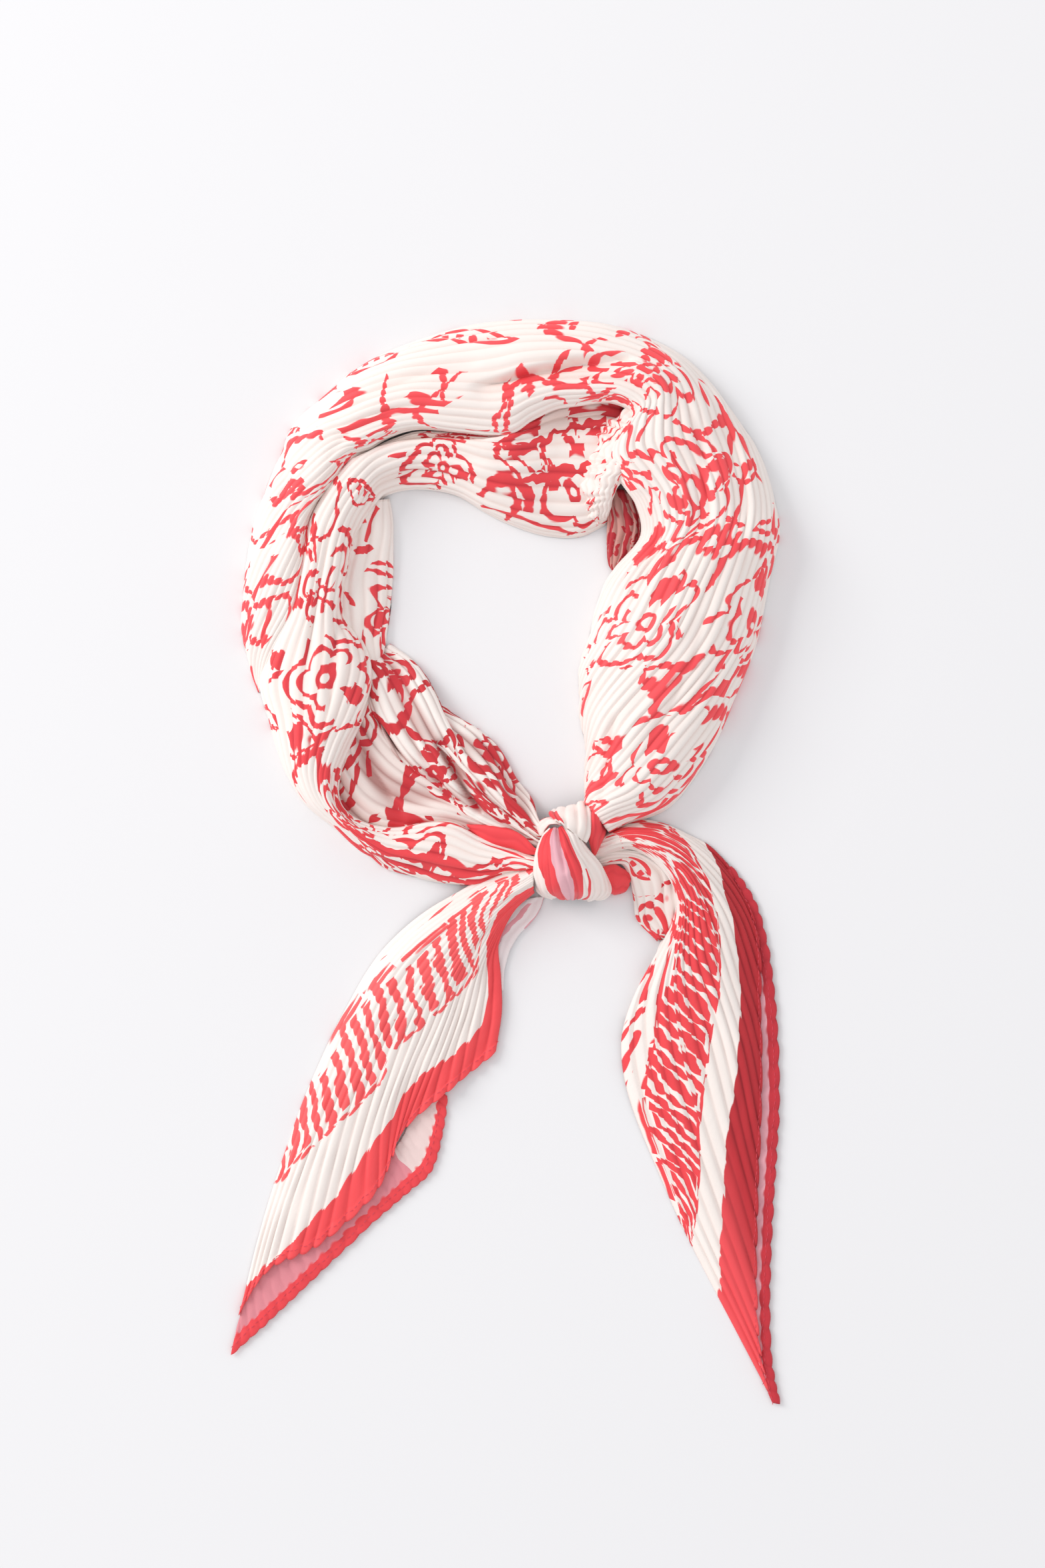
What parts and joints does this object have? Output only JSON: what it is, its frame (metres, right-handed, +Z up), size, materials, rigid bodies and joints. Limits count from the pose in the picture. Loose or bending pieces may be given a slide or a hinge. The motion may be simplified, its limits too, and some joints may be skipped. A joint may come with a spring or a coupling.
{
  "type": "pleated scarf",
  "caption": "Square pleated scarf folded on the bias, wound into a loop and tied in one knot, lying flat with its two tails spread.",
  "frame": {"origin": "middle of the scarf's outline, on the surface that it lies on", "axes": "+Z up from the surface, +Y from the knot to the top of the loop, the two tails towards -Y"},
  "size_m": [0.2474, 0.4886, 0.031],
  "materials": {
    "cream_cloth": "fine satin weave, pleated",
    "red_cloth": "fine satin weave, pleated",
    "hidden_layers": "folded layers that other cloth covers"
  },
  "bodies": {
    "root": {"knot_front": "red_cloth", "knot_small": "cream_cloth", "knot_back": "cream_cloth", "knot_red": "red_cloth", "tail_left": "cream_cloth", "tail_right": "cream_cloth", "knot_end": "red_cloth", "collar": "cream_cloth", "loop_right": "cream_cloth", "loop_top": "cream_cloth", "loop_left": "cream_cloth", "inner_top": "cream_cloth", "inner_left": "cream_cloth", "front_strand": "cream_cloth", "loop_under": "cream_cloth", "pocket": "red_cloth", "red_flap": "red_cloth", "fan_front": "cream_cloth", "fan_back": "cream_cloth", "fan_trough": "cream_cloth", "tail_right_arch": "cream_cloth", "tail_right_flap": "cream_cloth", "tail_right_under": "red_cloth", "tail_left_under": "red_cloth", "tail_left_sheer": "cream_cloth", "layers_loop": "hidden_layers", "layers_strand": "hidden_layers", "layers_knot": "hidden_layers", "layers_tail_left": "hidden_layers", "layers_tail_right": "hidden_layers"}
  },
  "joints": []
}
